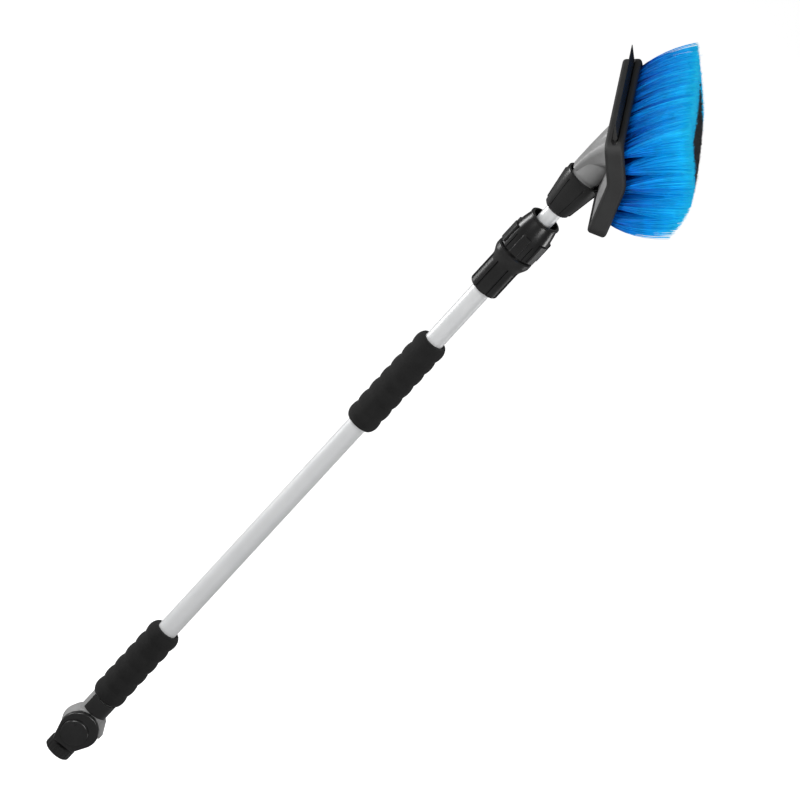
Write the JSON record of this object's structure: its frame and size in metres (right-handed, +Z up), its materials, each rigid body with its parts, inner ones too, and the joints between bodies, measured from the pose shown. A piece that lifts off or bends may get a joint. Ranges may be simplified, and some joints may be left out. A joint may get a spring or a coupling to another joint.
{
  "type": "telescopic flow-through window cleaning brush pole",
  "caption": "Telescopic water-fed pole with a hose valve, foam grips, a twist lock and a bent brush head with flared bristles, a rubber bumper and a squeegee blade.",
  "frame": {"origin": "centre of the hose nut's open end, on the pole's axis", "axes": "+Z up the pole from the hose end to the brush head, +X the way the bristles lean out, -Y the side the valve dial faces"},
  "size_m": [0.1517, 0.276, 1.2216],
  "materials": {
    "satin_aluminium": "satin anodised",
    "black_plastic": "semi-gloss moulded",
    "grey_plastic": "satin moulded",
    "black_rubber": "smooth matt rubber",
    "black_foam": "closed-cell foam",
    "blue_bristle": "soft flagged filament",
    "charcoal_bristle": "soft flagged filament",
    "seal_rubber": "seal rubber",
    "white_acetal": "plain moulded",
    "stainless_steel": "plain",
    "brass": "turned"
  },
  "bodies": {
    "outer_pole": {"outer_tube": "satin_aluminium", "valve_body": "grey_plastic", "valve_seats": "white_acetal", "valve_bonnet": "black_plastic", "bonnet_screws": "stainless_steel", "stem_o_ring": "seal_rubber", "swivel_tail": "black_plastic", "hose_washer": "seal_rubber", "inlet_screen": "stainless_steel", "socket_band": "black_plastic", "socket_pins": "stainless_steel", "lower_foam_grip": "black_foam", "upper_foam_grip": "black_foam", "lock_sleeve": "black_plastic", "guide_bush": "white_acetal", "lock_collet": "white_acetal"},
    "hose_nut": {"hose_nut": "black_plastic"},
    "valve_dial": {"valve_dial": "black_plastic", "valve_stem": "brass", "valve_ball": "brass", "dial_pin": "stainless_steel"},
    "lock_collar": {"lock_collar": "black_plastic"},
    "inner_pole": {"inner_tube": "satin_aluminium", "slide_piston": "white_acetal", "piston_o_rings": "seal_rubber", "pole_end_fitting": "black_plastic", "fitting_o_ring": "seal_rubber"},
    "head_nut": {"head_nut": "black_plastic"},
    "brush_head": {"head_shell": "grey_plastic", "head_gasket": "seal_rubber", "block_seal": "seal_rubber", "brush_block": "black_plastic", "shell_screws": "stainless_steel", "bumper": "black_rubber", "squeegee_blade": "black_rubber", "bristles_outer": "blue_bristle", "bristles_core": "charcoal_bristle"}
  },
  "joints": [
    {"name": "hose_nut_spin", "type": "hinge", "parent": "outer_pole", "child": "hose_nut", "pos_m": [0, 0, 0.008], "axis": [0, 0, 1], "continuous": true},
    {"name": "valve_turn", "type": "hinge", "parent": "outer_pole", "child": "valve_dial", "pos_m": [0, 0, 0.047], "axis": [0, -1, 0], "range_deg": [0, 90]},
    {"name": "lock_collar_turn", "type": "hinge", "parent": "outer_pole", "child": "lock_collar", "pos_m": [0, 0, 0.938], "axis": [0, 0, 1], "range_deg": [0, 120]},
    {"name": "pole_extend", "type": "slide", "parent": "outer_pole", "child": "inner_pole", "axis": [0, 0, 1], "range_m": [0, 0.7]},
    {"name": "head_nut_turn", "type": "hinge", "parent": "inner_pole", "child": "head_nut", "pos_m": [0, 0, 1.011], "axis": [0, 0, 1], "range_deg": [0, 360]},
    {"name": "head_swivel", "type": "hinge", "parent": "inner_pole", "child": "brush_head", "pos_m": [0, 0, 1.04], "axis": [0, 0, 1], "continuous": true}
  ]
}
